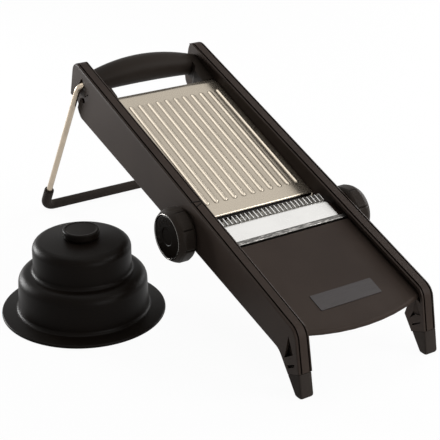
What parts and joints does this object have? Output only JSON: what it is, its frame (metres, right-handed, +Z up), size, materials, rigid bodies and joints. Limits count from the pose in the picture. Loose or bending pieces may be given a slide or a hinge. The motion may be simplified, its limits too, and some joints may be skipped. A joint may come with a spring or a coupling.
{
  "type": "mandoline slicer",
  "caption": "Sloped kitchen mandoline with hollow side rails, hinged ribbed feed plate, straight blade, julienne comb, side dials, folding wire leg and a sprung hand guard.",
  "frame": {"origin": "middle of the bounding box of the slicer and its hand guard, on the surface they stand on", "axes": "+Y from the low front end up the slope towards the rear handle, +X towards the julienne dial, +Z up"},
  "size_m": [0.263, 0.3876, 0.1537],
  "materials": {
    "black_plastic": "satin moulded",
    "gloss_black_plastic": "semi-gloss moulded",
    "black_rubber": "matte",
    "grey_plate": "satin",
    "ribbed_steel": "satin pressed sheet",
    "blade_steel": "bright ground",
    "satin_wire": "satin wire",
    "plain_steel": "plain"
  },
  "bodies": {
    "frame": {"left_rail": "black_plastic", "right_rail": "black_plastic", "left_foot_shoe": "black_rubber", "right_foot_shoe": "black_rubber", "left_leg_bush": "gloss_black_plastic", "right_leg_bush": "gloss_black_plastic", "landing_deck": "black_plastic", "deck_name_plate": "grey_plate", "blade": "blade_steel", "blade_holder": "blade_steel", "blade_rivet_1": "plain_steel", "blade_rivet_2": "plain_steel", "deck_screw_1": "plain_steel", "deck_screw_2": "plain_steel", "deck_screw_3": "plain_steel", "deck_screw_4": "plain_steel", "rear_handle": "black_plastic", "handle_screw_1": "plain_steel", "handle_screw_2": "plain_steel"},
    "feed_plate": {"feed_plate": "ribbed_steel", "feed_plate_hinge_rod": "plain_steel", "feed_plate_follower": "gloss_black_plastic"},
    "thickness_dial": {"thickness_dial": "black_plastic", "thickness_dial_ring": "satin_wire", "thickness_dial_face": "gloss_black_plastic", "thickness_shaft": "plain_steel", "left_lift_cam": "gloss_black_plastic", "right_lift_cam": "gloss_black_plastic"},
    "julienne_dial": {"julienne_dial": "black_plastic", "julienne_dial_ring": "satin_wire", "julienne_dial_face": "gloss_black_plastic", "julienne_shaft": "plain_steel", "julienne_comb": "blade_steel"},
    "wire_leg": {"wire_leg": "satin_wire", "wire_leg_sleeve": "black_rubber"},
    "hand_guard": {"guard_shell": "gloss_black_plastic", "guard_spring": "plain_steel"},
    "guard_plunger": {"guard_knob": "gloss_black_plastic", "guard_stem": "black_plastic", "guard_prong_plate": "black_plastic", "guard_prong_1": "plain_steel", "guard_prong_2": "plain_steel", "guard_prong_3": "plain_steel", "guard_prong_4": "plain_steel", "guard_prong_5": "plain_steel", "guard_prong_6": "plain_steel"}
  },
  "joints": [
    {"name": "thickness_turn", "type": "hinge", "parent": "frame", "child": "thickness_dial", "pos_m": [0.055, -0.0422, 0.06708], "axis": [1, 0, 0], "range_deg": [0, 150]},
    {"name": "feed_plate_tilt", "type": "hinge", "parent": "frame", "child": "feed_plate", "pos_m": [0.055, 0.0894, 0.12555], "axis": [-1, 0, 0], "range_deg": [0, 3.2]},
    {"name": "julienne_turn", "type": "hinge", "parent": "frame", "child": "julienne_dial", "pos_m": [0.055, -0.07496, 0.06592], "axis": [-1, 0, 0], "range_deg": [0, 75]},
    {"name": "leg_fold", "type": "hinge", "parent": "frame", "child": "wire_leg", "pos_m": [0.055, 0.11616, 0.13789], "axis": [-1, 0, 0], "range_deg": [0, 88]},
    {"name": "guard_slide", "type": "slide", "parent": "frame", "child": "hand_guard", "axis": [-1, 0, 0], "range_m": [0, 0.1]},
    {"name": "plunger_rise", "type": "slide", "parent": "hand_guard", "child": "guard_plunger", "axis": [0, 0, 1], "range_m": [0, 0.024], "stiffness_N_per_m": 250, "springref_m": -0.012, "deforming": ["guard_spring"]}
  ],
  "couplings": [
    {"joint": "feed_plate_tilt", "follows": "thickness_turn", "ratio": 0.021333}
  ]
}
